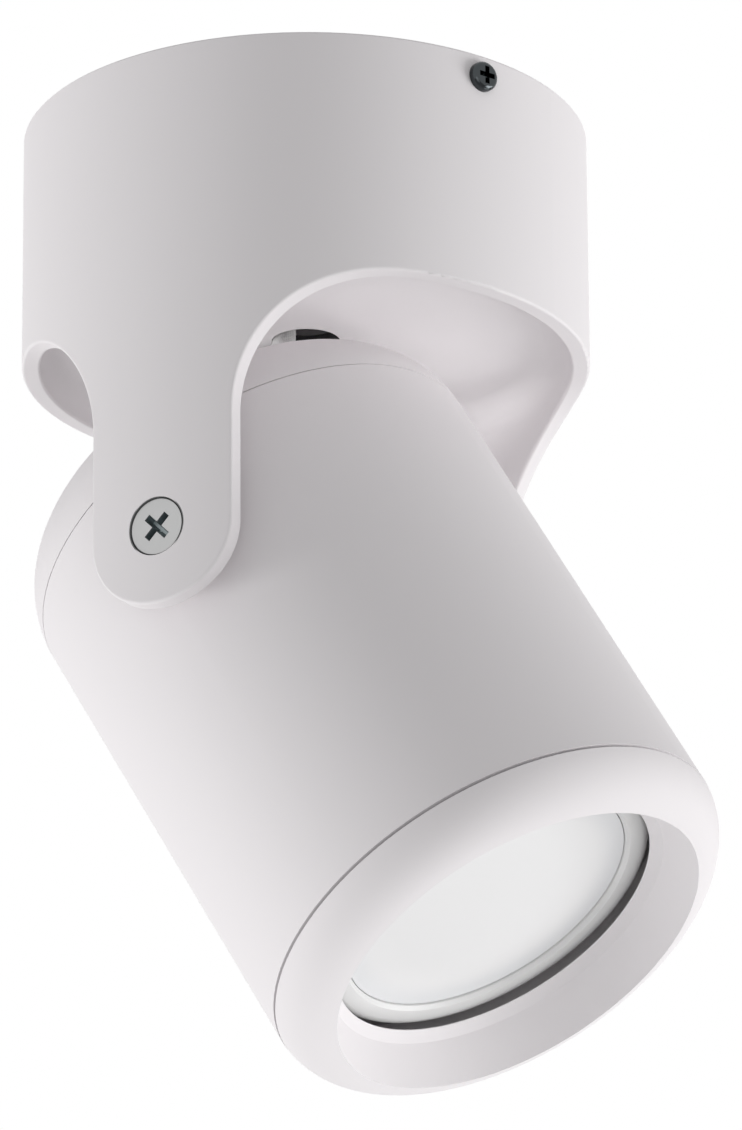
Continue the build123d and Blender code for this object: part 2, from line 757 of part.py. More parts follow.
# Screws up through the strap into the holder, and down through its feet into the cap
holder_screw = screw(m3_radius, holder_screw_length, m3_head_radius, m3_head_height, m3_slot)
with BuildPart() as holder_screws:
    for side in sides:
        head_seat = head_point(side * holder_screw_offset, 0, holder_rear - strap_thickness)
        with Locations(Plane(origin=head_seat, x_dir=head_side, z_dir=-head_axis)):
            add(holder_screw)
save(holder_screws, "holder_screws")

strap_screw = screw(m3_radius, strap_screw_length, m3_head_radius, m3_head_height, m3_slot)
with BuildPart() as strap_screws:
    for side in sides:
        with Locations(head_spot(side * strap_boss_offset, 0, strap_boss_top + strap_thickness)):
            add(strap_screw)
save(strap_screws, "strap_screws")

# The head's own earth point stands on the cap, with its lug pointing at the bundle
earth_seat = head_point(0, earth_boss_offset, earth_boss_top)
with BuildPart() as head_earth_lug:
    with Locations(Plane(origin=earth_seat, x_dir=(0, -1, 0), z_dir=head_axis)):
        add(ring_lug)
save(head_earth_lug, "head_earth_lug")

head_earth_screw_body = screw(
    earth_screw_radius, boss_hole_depth, earth_screw_head_radius, earth_screw_head_height, m3_slot
)
with BuildPart() as head_earth_screw:
    with Locations(head_spot(0, earth_boss_offset, earth_boss_top + lug_thickness)):
        add(head_earth_screw_body)
save(head_earth_screw, "head_earth_screw")

# ---------------------------------------------------------------- lamp

with BuildPart() as lamp_base:
    with BuildSketch(head_plane(lamp_base_rear)):
        Circle(lamp_base_radius)
    extrude(amount=lamp_base_length)
    fillet(lamp_base.faces().sort_by(head_line)[0].edges(), 1.0)
    with BuildSketch(head_plane(lamp_throat)):
        Circle(lamp_throat_radius - lamp_wall - 2)
    extrude(amount=lamp_base_spigot)
    with BuildSketch(head_plane(lamp_base_rear)):
        with PolarLocations(pin_offset, 2, start_angle=pin_turns[0]):
            Circle(pin_neck_radius)
    extrude(amount=pin_head_length, mode=Mode.SUBTRACT)
save(lamp_base, "lamp_base")

with BuildPart() as lamp_pins:
    with BuildSketch(head_plane(pin_tip)):
        with PolarLocations(pin_offset, 2, start_angle=pin_turns[0]):
            Circle(pin_head_radius)
    extrude(amount=pin_head_length)
    fillet(lamp_pins.faces().group_by(head_line)[0].edges(), 0.5)
    with BuildSketch(head_plane(pin_tip + pin_head_length)):
        with PolarLocations(pin_offset, 2, start_angle=pin_turns[0]):
            Circle(pin_neck_radius)
    extrude(amount=lamp_base_rear - pin_tip)
save(lamp_pins, "lamp_pins")

with BuildPart() as lamp_shell:
    with BuildSketch(head_section) as shell_profile:
        rim_start = lamp_face - lamp_rim_height
        web_rear = lamp_web_face - web_thickness
        with BuildLine():
            RadiusArc((lamp_throat_radius, lamp_throat), (lamp_radius, rim_start), lamp_flare_round)
            Polyline(
                (lamp_radius, rim_start),
                (lamp_radius, lamp_face),
                (lens_radius + lens_gap + lamp_rim_chamfer, lamp_face),
                (lens_radius + lens_gap, lamp_face - lamp_rim_chamfer),
                (lens_radius + lens_gap, lens_rear),
                (lens_radius - lens_ledge, lens_rear),
                (lens_radius - lens_ledge, lamp_web_face),
                (0, lamp_web_face),
                (0, web_rear),
                (lens_radius - lens_ledge - lamp_wall, web_rear),
                (lamp_throat_radius - lamp_wall, lamp_throat + lamp_base_spigot),
                (lamp_throat_radius - lamp_wall - 2, lamp_throat + lamp_base_spigot),
                (lamp_throat_radius - lamp_wall - 2, lamp_throat),
                (lamp_throat_radius, lamp_throat),
            )
        make_face()
        rim_corner = shell_profile.vertices().group_by(Axis.Y)[-1].sort_by(Axis.X)[-1]
        fillet(rim_corner, lamp_rim_round)
    revolve(axis=head_line)
save(lamp_shell, "lamp_shell")

with BuildPart() as lamp_lens:
    with BuildSketch(head_plane(lens_rear)):
        Circle(lens_radius)
    extrude(amount=lens_thickness)
save(lamp_lens, "lamp_lens")

with BuildPart() as led_board:
    with BuildSketch(head_plane(lamp_web_face)):
        Circle(lens_radius - lens_ledge - led_board_gap)
    extrude(amount=led_board_thickness)
save(led_board, "led_board")

with BuildPart() as driver_board:
    with BuildSketch(head_plane(lamp_throat + lamp_base_spigot)):
        Rectangle(driver_width, driver_thickness)
    extrude(amount=driver_length)
save(driver_board, "driver_board")

# ---------------------------------------------------------------- front ring and its seal

with BuildPart() as front_ring:
    with BuildSketch(head_section):
        shoulder_radius = ring_round_radius + sqrt(ring_round**2 - (ring_shoulder - ring_round_place) ** 2)
        mouth_place = ring_round_place + sqrt(ring_round**2 - (mouth_radius - ring_round_radius) ** 2)
        diagonal = ring_round * sqrt(0.5)
        lip_rear = aperture_place - lip_thickness
        with BuildLine():
            ThreePointArc(
                (shoulder_radius, ring_shoulder),
                (ring_round_radius + diagonal, ring_round_place + diagonal),
                (mouth_radius, mouth_place),
            )
            Polyline(
                (mouth_radius, mouth_place),
                (aperture_radius + band_width, aperture_place + band_rise),
                (aperture_radius, aperture_place),
                (aperture_radius, aperture_place - aperture_land),
                (spigot_inner_radius - ring_hollow_chamfer, lip_rear),
                (spigot_inner_radius, lip_rear - ring_hollow_chamfer),
                (spigot_inner_radius, spigot_end),
                (spigot_radius, spigot_end),
                (spigot_radius, seal_groove_start),
                (seal_groove_radius, seal_groove_start),
                (seal_groove_radius, ring_shoulder),
                (shoulder_radius, ring_shoulder),
            )
        make_face()
    revolve(axis=head_line)
save(front_ring, "front_ring")

with BuildPart() as ring_seal:
    with BuildSketch(head_section):
        with Locations((seal_ring_radius, seal_place)):
            Circle(seal_radius)
    revolve(axis=head_line)
save(ring_seal, "ring_seal")

# ---------------------------------------------------------------- leads


def bend_round(before, corner, after, limit):
    """Gives the radius of the arc that fits at a corner of a route, up to the limit."""
    turn = (corner - before).get_angle(after - corner)
    run = min((corner - before).length, (after - corner).length)
    return min(0.45 * run / tan(radians(turn) / 2), limit)


def beside(before, corner, after, shift):
    """Gives the corner of a route that runs beside another one, as seen along Y."""
    runs = [Vector(run.X, 0, run.Z).normalized() for run in (corner - before, after - corner)]
    first, second = [run.cross(Vector(0, 1, 0)) for run in runs]
    return corner + (first + second) * (shift / (1 + first.dot(second)))


def bundle_route(shift, y, top, end):
    """Gives one lead's corners in the bundle, from height top in the base to s = end in the head."""
    first = Vector(*sleeve_place, top)
    lower = Vector(*sleeve_place, floor_underside - lower_bend_drop)
    behind = pivot + head_axis * (cap_face - cap_approach)
    last = pivot + head_axis * end
    corners = [
        first + Vector(shift, 0, 0),
        beside(first, lower, behind, shift),
        beside(lower, behind, last, shift),
        last + head_side * shift,
    ]
    return [corner + Vector(0, y, 0) for corner in corners]


def bundle_rounds(shift):
    """Gives the radii of the bundle's two bends, with every lead's arcs about the same centres."""
    return [lower_bend_round + shift, cap_bend_round - shift]


def save_wire(name, points, rounds, radius, bore=0.0):
    """Sweeps a round wire along runs and tangent arcs, and writes it as a piece."""
    runs = sum((after - before).length for before, after in zip(points, points[1:]))
    print(f"{name}: bend radii {[round(value, 2) for value in rounds]} mm, runs {runs:.1f} mm")
    with BuildLine() as route:
        FilletPolyline(*points, radius=rounds)
    path = route.wires()[0]
    with BuildPart() as wire:
        with BuildSketch(Plane(origin=path @ 0, z_dir=path % 0)):
            Circle(radius)
            if bore:
                Circle(bore, mode=Mode.SUBTRACT)
        sweep(path=path)
    save(wire, name)


def fitted(points, limit):
    """Gives the radii of the arcs that fit at every corner of a route."""
    return [bend_round(*corner, limit) for corner in zip(points, points[1:], points[2:])]


pair_shift = bundle_radius * cos(radians(30))
pair_y = -bundle_radius * sin(radians(30))
clamp_entry = block_front + clamp_inset + clamp_bore_depth - screw_tip_margin
clamp_turn = block_front - clamp_turn_gap
stem_end = cavity_floor - contact_stem_length - screw_tip_margin


def power_lead(name, pole_x, shift, pin_y):
    """Makes a live or neutral lead, from its clamp to the stem of its contact."""
    points = [Vector(pole_x, y, clamp_height) for y in (clamp_entry, clamp_turn)]
    points += bundle_route(shift, pair_y, bundle_top, bundle_end)
    points += [head_point(0, pin_y, bundle_end + fan_length), head_point(0, pin_y, stem_end)]
    rounds = fitted(points, lead_bend_limit)
    rounds[2:4] = bundle_rounds(shift)
    save_wire(name, points, rounds, lead_radius)


power_lead("live_lead", -pole_pitch, -pair_shift, -pin_offset)
power_lead("neutral_lead", pole_pitch, pair_shift, pin_offset)

# The earth lead and the jumper share the middle clamp
earth_lane = clamp_bore_radius / 2
lug_axis = earth_boss_top + lug_barrel_radius
lug_stop = earth_boss_offset - lug_barrel_start - screw_tip_margin
earth_points = [Vector(-earth_lane, y, clamp_height) for y in (clamp_entry, clamp_turn)]
earth_points += bundle_route(0, bundle_radius, bundle_top, lug_axis)
earth_points += [head_point(0, lug_stop, lug_axis)]
earth_rounds = fitted(earth_points, earth_bend_limit)
earth_rounds[2:4] = bundle_rounds(0)
save_wire("earth_lead", earth_points, earth_rounds, lead_radius)

jumper_x, jumper_y = earth_screw_place
jumper_height = bracket_underside - lug_barrel_radius
jumper_start = jumper_y + lug_barrel_start + screw_tip_margin
jumper_points = [
    Vector(jumper_x, jumper_start, jumper_height),
    Vector(jumper_x, jumper_start + jumper_run, jumper_height),
    Vector(earth_lane, block_front - jumper_turn_gap, clamp_height),
    Vector(earth_lane, clamp_entry, clamp_height),
]
save_wire("earth_jumper", jumper_points, fitted(jumper_points, lead_bend_limit), lead_radius)

sleeve_points = bundle_route(0, 0, sleeve_top, sleeve_end)
save_wire("lead_sleeve", sleeve_points, bundle_rounds(0), sleeve_radius, sleeve_bore_radius)
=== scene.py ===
"""A white surface mounted ceiling spotlight: finishes, wiring, studio light and camera.

Metres, in the frame of the solids: +Z is up, the origin is on the ceiling above the drum's axis.
Places are written in millimetres, as mm(...), and along the head as head_point(...).
"""

from math import cos, pi, radians, sin

import bmesh
import bpy
from mathutils import Matrix, Vector


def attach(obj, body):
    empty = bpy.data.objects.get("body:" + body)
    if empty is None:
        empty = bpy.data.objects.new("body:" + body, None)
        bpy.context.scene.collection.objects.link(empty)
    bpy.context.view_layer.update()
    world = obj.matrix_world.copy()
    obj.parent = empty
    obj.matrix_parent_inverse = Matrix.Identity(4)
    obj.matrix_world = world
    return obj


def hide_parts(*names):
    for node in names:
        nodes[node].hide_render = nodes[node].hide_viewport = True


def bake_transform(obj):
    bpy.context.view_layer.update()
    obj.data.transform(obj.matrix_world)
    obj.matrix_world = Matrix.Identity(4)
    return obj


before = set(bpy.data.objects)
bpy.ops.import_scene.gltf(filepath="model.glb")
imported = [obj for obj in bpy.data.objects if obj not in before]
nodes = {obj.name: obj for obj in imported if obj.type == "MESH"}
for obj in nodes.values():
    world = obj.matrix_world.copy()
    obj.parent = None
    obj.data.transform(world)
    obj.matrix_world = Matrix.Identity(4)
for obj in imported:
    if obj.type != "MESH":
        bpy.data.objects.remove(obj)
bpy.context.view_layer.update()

# ---------------------------------------------------------------- the frame's places

MM = 0.001
PIVOT = Vector((0, 0, -70.4)) * MM
TILT = radians(31)   # of the head, from straight down
HEAD_AXIS = Vector((sin(TILT), 0, -cos(TILT)))
HEAD_SIDE = Vector((cos(TILT), 0, sin(TILT)))
TILT_AXIS = Vector((0, 1, 0))
SIDE_SCREW_TURN = radians(-21.6)   # about +Z from +X
SIDE_SCREW_AXIS = Vector((cos(SIDE_SCREW_TURN), sin(SIDE_SCREW_TURN), 0))
SIDE_SCREW_ORIGIN = Vector((0, 0, -3.4)) * MM


def mm(*point):
    """Gives a point in metres from millimetres."""
    return Vector(point) * MM


def head_point(side, y, along):
    """Gives the point of the head that lies along millimetres from the pivot towards the light."""
    return PIVOT + (HEAD_AXIS * along + HEAD_SIDE * side + TILT_AXIS * y) * MM


# ---------------------------------------------------------------- shader maths


class Signal:
    """A shader socket that can be used in arithmetic."""

    def __init__(self, finish, socket):
        self.finish = finish
        self.socket = socket

    def _combine(self, operation, *values):
        node = self.finish.node("Math", {"operation": operation}, dict(enumerate(values)))
        return Signal(self.finish, node.outputs[0])

    def __add__(self, other):
        return self._combine("ADD", self, other)

    __radd__ = __add__

    def __sub__(self, other):
        return self._combine("SUBTRACT", self, other)

    def __rsub__(self, other):
        return self._combine("SUBTRACT", other, self)

    def __mul__(self, other):
        return self._combine("MULTIPLY", self, other)

    __rmul__ = __mul__

    def __abs__(self):
        return self._combine("ABSOLUTE", self)

    def sine(self):
        """Gives the sine of a value in radians."""
        return self._combine("SINE", self)

    def larger(self, other):
        """Gives the larger of two values."""
        return self._combine("MAXIMUM", self, other)

    def step(self, low, high):
        """Rises smoothly from 0 at low to 1 at high, or falls where high is the lower one."""
        settings = {"interpolation_type": "SMOOTHSTEP"}
        ends = {"From Min": min(low, high), "From Max": max(low, high)}
        ends.update({"To Min": 0.0 if low < high else 1.0, "To Max": 1.0 if low < high else 0.0})
        return Signal(self.finish, self.finish.node("MapRange", settings, {"Value": self, **ends}).outputs[0])


ZONE_EDGE = 0.06 * MM   # width of the soft edge of a zone


class PaintedShadeZone:
    """A stretch round an axis whose colour is painted shade, on both sides of the origin alike."""

    def __init__(self, origin, axis, along, away, colour):
        self.origin = origin
        self.axis = axis
        self.along = [value * MM for value in along]
        self.away = [value * MM for value in away]
        self.colour = (*colour, 1.0)


class Finish:
    """One material, built node by node round a Principled shader."""

    def __init__(self, name):
        self.material = bpy.data.materials.new(name)
        self.material.use_nodes = True
        self.tree = self.material.node_tree
        self.tree.nodes.clear()
        self.output = self.node("OutputMaterial")
        self.coordinates = self.node("TexCoord")
        self.place = Signal(self, self.coordinates.outputs["Object"])

    def node(self, kind, settings=None, sockets=None):
        """Adds a node, makes its settings, then fills or links its sockets."""
        made = self.tree.nodes.new("ShaderNode" + kind)
        for key, value in (settings or {}).items():
            setattr(made, key, value)
        for key, value in (sockets or {}).items():
            if isinstance(value, Signal):
                self.tree.links.new(value.socket, made.inputs[key])
            else:
                made.inputs[key].default_value = value
        return made

    def vector(self, operation, first, second=None, output="Vector"):
        """Does vector maths on one or two vectors."""
        sockets = {0: first} if second is None else {0: first, 1: second}
        return Signal(self, self.node("VectorMath", {"operation": operation}, sockets).outputs[output])

    def measure(self, origin, axis):
        """Gives how far a place lies along an axis from its origin, and how far away from the axis."""
        reach = self.vector("SUBTRACT", self.place, origin)
        along = self.vector("DOT_PRODUCT", reach, axis, "Value")
        away = self.vector("LENGTH", self.vector("CROSS_PRODUCT", reach, axis), None, "Value")
        return along, away

    def within(self, zone):
        """Gives 1 inside a zone round an axis, and 0 outside it."""
        along, away = self.measure(zone.origin, zone.axis)
        mask = None
        for value, (low, high) in ((abs(along), zone.along), (away, zone.away)):
            for edge in (value.step(low - ZONE_EDGE, low), value.step(high + ZONE_EDGE, high)):
                mask = edge if mask is None else mask * edge
        return mask

    def lengthways(self):
        """Gives the share of the way along a wire and round it, each from 0 to 1."""
        uv = Signal(self, self.coordinates.outputs["UV"])
        split = self.node("SeparateXYZ", None, {0: uv})
        return Signal(self, split.outputs[0]), Signal(self, split.outputs[1])

    def noise(self, scale, detail=2.0, roughness=0.5):
        """Gives a noise of about one patch per 1/scale metres, from 0 to 1."""
        sockets = {"Vector": self.place, "Scale": scale, "Detail": detail, "Roughness": roughness}
        return Signal(self, self.node("TexNoise", None, sockets).outputs[0])

    def blend(self, factor, first, second):
        """Mixes two colours by a factor."""
        mixed = self.node("Mix", {"data_type": "RGBA"}, {0: factor, 6: first, 7: second})
        return Signal(self, mixed.outputs[2])

    def bump(self, height, distance, strength=1.0):
        """Turns a height from 0 to 1 into a normal, distance metres deep."""
        sockets = {"Height": height, "Distance": distance, "Strength": strength}
        return Signal(self, self.node("Bump", None, sockets).outputs[0])

    def surface(self, **sockets):
        """Ends the material in a Principled shader with the given sockets."""
        named = {key.replace("_", " "): value for key, value in sockets.items()}
        shader = self.node("BsdfPrincipled", None, named)
        self.tree.links.new(shader.outputs[0], self.output.inputs[0])
        return self.material


def shade(colour, factor=1.0):
    """Gives an opaque colour, scaled by a factor."""
    return (colour[0] * factor, colour[1] * factor, colour[2] * factor, 1.0)


# ---------------------------------------------------------------- finishes


COAT_ROUGHNESS = 0.55
COAT_GLOSS = 0.12   # low, because the coat shows no bright rims


def powder_coat(name, colour, painted_shade_zones=()):
    """Baked matt powder: faint orange peel, and a gloss that varies a little."""
    finish = Finish(name)
    peel = finish.noise(1100)
    drift = finish.noise(45, 3.0)
    painted = finish.blend(drift, shade(colour, 0.985), shade(colour))
    # painted shade: each zone darkens the coat where shade falls, such as a countersink
    for zone in painted_shade_zones:
        painted = finish.blend(finish.within(zone), painted, zone.colour)
    return finish.surface(
        Base_Color=painted,
        Roughness=COAT_ROUGHNESS - 0.03 + drift * 0.06,
        Normal=finish.bump(peel, 0.02 * MM, 0.35),
        Specular_IOR_Level=COAT_GLOSS,
    )


def moulded_plastic(name, colour, roughness, grain=1500, depth=0.01 * MM):
    """Moulded plastic or rubber: an even colour with the tool's fine grain."""
    finish = Finish(name)
    texture = finish.noise(grain, 3.0)
    cloud = finish.noise(90)
    return finish.surface(
        Base_Color=finish.blend(cloud, shade(colour, 0.95), shade(colour)),
        Roughness=roughness - 0.04 + texture * 0.08,
        Normal=finish.bump(texture, depth, 0.5),
    )


def plated_metal(name, colour, roughness, crystal=700, dark=0.82, painted_shade_zones=()):
    """Plated or passivated metal: a metallic skin with a faint mottle, and marks that dim it to dark."""
    finish = Finish(name)
    mottle = finish.noise(crystal, 4.0, 0.6)
    marks = finish.noise(150, 5.0, 0.65)
    skin = finish.blend(marks, shade(colour, dark), shade(colour))
    # painted shade: each zone darkens the metal in a recess or round a rim, where shade falls
    for zone in painted_shade_zones:
        skin = finish.blend(finish.within(zone), skin, zone.colour)
    return finish.surface(
        Base_Color=skin,
        Metallic=1.0,
        Roughness=roughness - 0.06 + mottle * 0.12,
        Normal=finish.bump(mottle, 0.008 * MM, 0.4),
    )


LENS_LIGHT_EDGE = 16.5 * MM   # the light source behind the lens ends here, and the lens is painted lighter out to here
LENS_SHADE_START = 20.5 * MM   # and painted shade, darker towards the rim, is full from here


def frosted_lens(name):
    """A frosted cover over the lamp's light source: milky, with painted light over the source and painted
    shade darkening it towards the rim.
    """
    finish = Finish(name)
    frost = finish.noise(2600)
    away = finish.measure(PIVOT, HEAD_AXIS)[1]
    # painted light in the middle, fading to painted shade towards the rim
    middle = away.step(LENS_SHADE_START, LENS_LIGHT_EDGE)
    return finish.surface(
        Base_Color=finish.blend(middle, (0.80, 0.81, 0.82, 1), (0.86, 0.86, 0.86, 1)),
        Roughness=0.28 + frost * 0.08,
        Normal=finish.bump(frost, 0.008 * MM, 0.3),
        Coat_Weight=0.3,
        Coat_Roughness=0.12,
    )


STRIPE_START, STRIPE_FULL = 0.62, 0.72   # sine of the turn round a lead


def insulation(name, colour, stripe=None):
    """Soft silicone insulation, dulled by dust, with a stripe along two sides if it has one."""
    finish = Finish(name)
    dust = finish.noise(420, 3.0)
    skin = finish.blend(dust, shade(colour, 0.85), shade(colour, 1.1))
    if stripe:
        turn = finish.lengthways()[1]
        band = abs((turn * 2 * pi).sine()).step(STRIPE_START, STRIPE_FULL)
        skin = finish.blend(band, skin, shade(stripe))
    return finish.surface(
        Base_Color=skin,
        Roughness=0.45 + dust * 0.15,
        Normal=finish.bump(dust, 0.01 * MM, 0.4),
    )


SLEEVE_PICKS = 78   # yarn crossings along the sleeve
SLEEVE_YARNS = 18   # yarn crossings round it


def woven_sleeve(name, colour):
    """Woven glass sleeve: two sets of yarns that cross on the tube."""
    finish = Finish(name)
    along, turn = finish.lengthways()
    rising = ((along * SLEEVE_PICKS + turn * SLEEVE_YARNS) * 2 * pi).sine()
    falling = ((along * SLEEVE_PICKS - turn * SLEEVE_YARNS) * 2 * pi).sine()
    weave = rising * falling * 0.5 + 0.5
    return finish.surface(
        Base_Color=finish.blend(weave, shade(colour, 0.9), shade(colour)),
        Roughness=0.74 - weave * 0.12,
        Normal=finish.bump(weave, 0.12 * MM, 0.7),
    )


WHITE = (0.885, 0.858, 0.87)

# Millimetres along an axis and away from it: painted shade in the screws' recesses, round their rims and in
# the countersinks
COUNTERSINK_SHADE = PaintedShadeZone(PIVOT, TILT_AXIS, (37.7, 39.85), (2.5, 4.3), (0.22, 0.225, 0.225))
PIVOT_RECESS_SHADE = PaintedShadeZone(PIVOT, TILT_AXIS, (37.6, 39.45), (0, 2.4), (0.30, 0.34, 0.35))
PIVOT_RIM_SHADE = PaintedShadeZone(PIVOT, TILT_AXIS, (37, 39.6), (3.86, 4.2), (0.16, 0.165, 0.165))
SIDE_RECESS_SHADE = PaintedShadeZone(SIDE_SCREW_ORIGIN, SIDE_SCREW_AXIS, (40, 41.1), (0, 1.5), (0.05, 0.06, 0.062))

coat = powder_coat("white_powder_coat", WHITE)
zinc = plated_metal("zinc_plate", (0.66, 0.67, 0.69), 0.34)
screw_zinc = plated_metal("screw_zinc_plate", (0.70, 0.71, 0.73), 0.28)
brass = plated_metal("clamp_brass", (0.78, 0.60, 0.30), 0.3)
tinned = plated_metal("tinned_copper", (0.72, 0.70, 0.67), 0.36)
lamp_plastic = moulded_plastic("lamp_body_plastic", (0.82, 0.82, 0.815), 0.35)

finishes = {
    # the base coat gets painted shade in the countersinks round the pivot screws
    "base_housing": powder_coat("base_coat", WHITE, [COUNTERSINK_SHADE]),
    "head_tube": coat,
    "rear_cap": coat,
    "pivot_bushes": coat,
    "front_ring": coat,
    "cable_bush": moulded_plastic("bush_rubber", (0.045, 0.045, 0.047), 0.55),
    "pivot_washers": moulded_plastic("white_washer_plastic", (0.78, 0.78, 0.77), 0.5),
    # the pivot screws get painted shade in their cross recesses and round their rims
    "pivot_screws": plated_metal(
        "pivot_screw_nickel", (0.50, 0.50, 0.50), 0.42, 900, 0.93, [PIVOT_RECESS_SHADE, PIVOT_RIM_SHADE]
    ),
    # the side screws get painted shade in their recesses
    "housing_screws": plated_metal(
        "side_screw_chrome", (0.065, 0.072, 0.076), 0.16, 500, 0.9, [SIDE_RECESS_SHADE]
    ),
    "mounting_bracket": zinc,
    "holder_strap": zinc,
    "bracket_earth_screw": screw_zinc,
    "head_earth_screw": screw_zinc,
    "terminal_screws": screw_zinc,
    "terminal_block_screws": screw_zinc,
    "holder_screws": screw_zinc,
    "strap_screws": screw_zinc,
    "terminal_block": moulded_plastic("terminal_block_plastic", (0.76, 0.76, 0.74), 0.4),
    "terminal_clamps": brass,
    "holder_contacts": brass,
    "bracket_earth_lug": tinned,
    "head_earth_lug": tinned,
    "lamp_holder": moulded_plastic("holder_ceramic", (0.82, 0.80, 0.74), 0.3, 600, 0.02 * MM),
    "rear_grommet": moulded_plastic("grommet_rubber", (0.74, 0.74, 0.72), 0.65),
    "ring_seal": moulded_plastic("seal_rubber", (0.035, 0.035, 0.037), 0.6),
    "lamp_base": lamp_plastic,
    "lamp_shell": lamp_plastic,
    "lamp_pins": plated_metal("lamp_pin_metal", (0.76, 0.75, 0.72), 0.25),
    "lamp_lens": frosted_lens("frosted_lens_cover"),
    "led_board": moulded_plastic("light_board_mask", (0.80, 0.80, 0.76), 0.4),
    "driver_board": moulded_plastic("driver_board_mask", (0.03, 0.20, 0.09), 0.35),
}
for name, finish in finishes.items():
    nodes[name].data.materials.clear()
    nodes[name].data.materials.append(finish)

# ---------------------------------------------------------------- leads and their sleeve

LEAD_RADIUS = 0.6
SLEEVE_RADIUS = 1.65
SLEEVE_WALL = 0.23
STEPS = 32        # of each stretch between two points of a route
ROUNDING = 6      # of a wire's section

BUNDLE_RADIUS = 0.76                      # three leads lie round the sleeve's middle
PAIR_SHIFT = BUNDLE_RADIUS * cos(pi / 6)
PAIR_Y = -BUNDLE_RADIUS * sin(pi / 6)

SLEEVE_X, SLEEVE_Y = -2.6, -1.6           # the sleeve passes the drum's hole here
SLACK_HEIGHT = -32.4                      # its slack runs just below the drum's floor
SLACK_END = -44.3                         # and turns back along the head's axis here
SLACK_POINT = 0.4                         # a point between its bends, as a share of the way
SLEEVE_TOP, HOLE_EXIT = -17.5, -26.4
CAP_ENTRY, SLEEVE_END = -23.45, -21
LEAD_HEIGHTS = (-13, -22, HOLE_EXIT)
CLAMP_HEIGHT = -9
CLAMP_RUN = (15.8, 8, 2)                  # from a clamp to the drum's middle
BEND_END = tuple(head_point(0, 0, -28))


def wire(name, points, radius, finish, wall=0.0, bends=True):
    """Makes a smooth round wire or thin tube along a route: with bends, it is baked in place on no body,
    without, it is attached to the base.
    """
    curve = bpy.data.curves.new(name + "_line", "CURVE")
    curve.dimensions = "3D"
    curve.resolution_u = STEPS
    curve.bevel_depth = radius * MM
    curve.bevel_resolution = ROUNDING
    curve.use_fill_caps = not wall
    line = curve.splines.new("NURBS")
    line.points.add(len(points) - 1)
    for target, point in zip(line.points, points):
        target.co = (*point, 1.0)
    line.order_u = 3
    line.use_endpoint_u = True
    source = bpy.data.objects.new(name + "_line", curve)
    bpy.context.scene.collection.objects.link(source)
    bpy.context.view_layer.update()
    mesh = bpy.data.meshes.new_from_object(source.evaluated_get(bpy.context.evaluated_depsgraph_get()))
    bpy.data.objects.remove(source)
    mesh.name = name
    piece = bpy.data.objects.new(name, mesh)
    bpy.context.scene.collection.objects.link(piece)
    mesh.materials.clear()
    mesh.materials.append(finish)
    mesh.polygons.foreach_set("use_smooth", [True] * len(mesh.polygons))
    if wall:
        shell = piece.modifiers.new("wall", "SOLIDIFY")
        shell.thickness = wall * MM
        shell.offset = -1.0
    if bends:
        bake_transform(piece)
    else:
        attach(piece, "base")
    return piece


def beside(before, corner, after, shift):
    """Gives the corner of a route that runs beside another one, as seen along Y.

    A wire rounds its corner and passes it at three quarters of the way, so the corner moves out
    less than a mitre does.
    """
    first, second = [
        Vector((run.x, 0, run.z)).normalized().cross(TILT_AXIS) for run in (corner - before, after - corner)
    ]
    middle = (first + second).normalized()
    return corner + middle * (shift * MM * (4 - middle.dot(first)) / 3)


def bundle(shift, y, heights, head_places):
    """Gives a strand's points: heights in the drum, the slack's bends, and places along the head."""
    top = mm(SLEEVE_X, SLEEVE_Y, heights[0])
    lower = mm(SLEEVE_X, SLEEVE_Y, SLACK_HEIGHT)
    behind = head_point(0, 0, SLACK_END)
    last = head_point(0, 0, head_places[-1])
    low_bend = beside(top, lower, behind, shift)
    back_bend = beside(lower, behind, last, shift)
    line = [mm(SLEEVE_X + shift, SLEEVE_Y, height) for height in heights]
    line += [low_bend, low_bend.lerp(back_bend, SLACK_POINT), back_bend]
    line += [head_point(shift, 0, place) for place in head_places]
    return [point + mm(0, y, 0) for point in line]


def power_route(pole_x, shift, pin_y):
    """Gives a live or neutral lead's points, from its clamp to the stem of its contact."""
    route = [mm(pole_x, y, CLAMP_HEIGHT) for y in CLAMP_RUN]
    route += bundle(shift, PAIR_Y, LEAD_HEIGHTS, (CAP_ENTRY, -18))
    return route + [head_point(0, pin_y, place) for place in (-12, -8.6, -5.2)]


earth_route = [mm(-0.75, y, CLAMP_HEIGHT) for y in CLAMP_RUN]
earth_route += bundle(0, BUNDLE_RADIUS, LEAD_HEIGHTS, (CAP_ENTRY, -17.5))
earth_route += [head_point(0, y, -17.5) for y in (7.6, 12.8)]
jumper_route = [mm(-14, -10.8, -2.75), mm(-14, -3, -2.75), mm(-6.6, -2.5, -5.9)]
jumper_route += [mm(0.75, y, CLAMP_HEIGHT) for y in (-2, 6, 15.8)]
sleeve_route = bundle(0, 0, (SLEEVE_TOP, HOLE_EXIT), (CAP_ENTRY, SLEEVE_END))

live_colour = insulation("live_insulation", (0.16, 0.055, 0.02))
neutral_colour = insulation("neutral_insulation", (0.02, 0.07, 0.34))
earth_colour = insulation("earth_insulation", (0.05, 0.27, 0.05), (0.72, 0.60, 0.03))
sleeve_weave = woven_sleeve("sleeve_weave", (0.93, 0.93, 0.92))

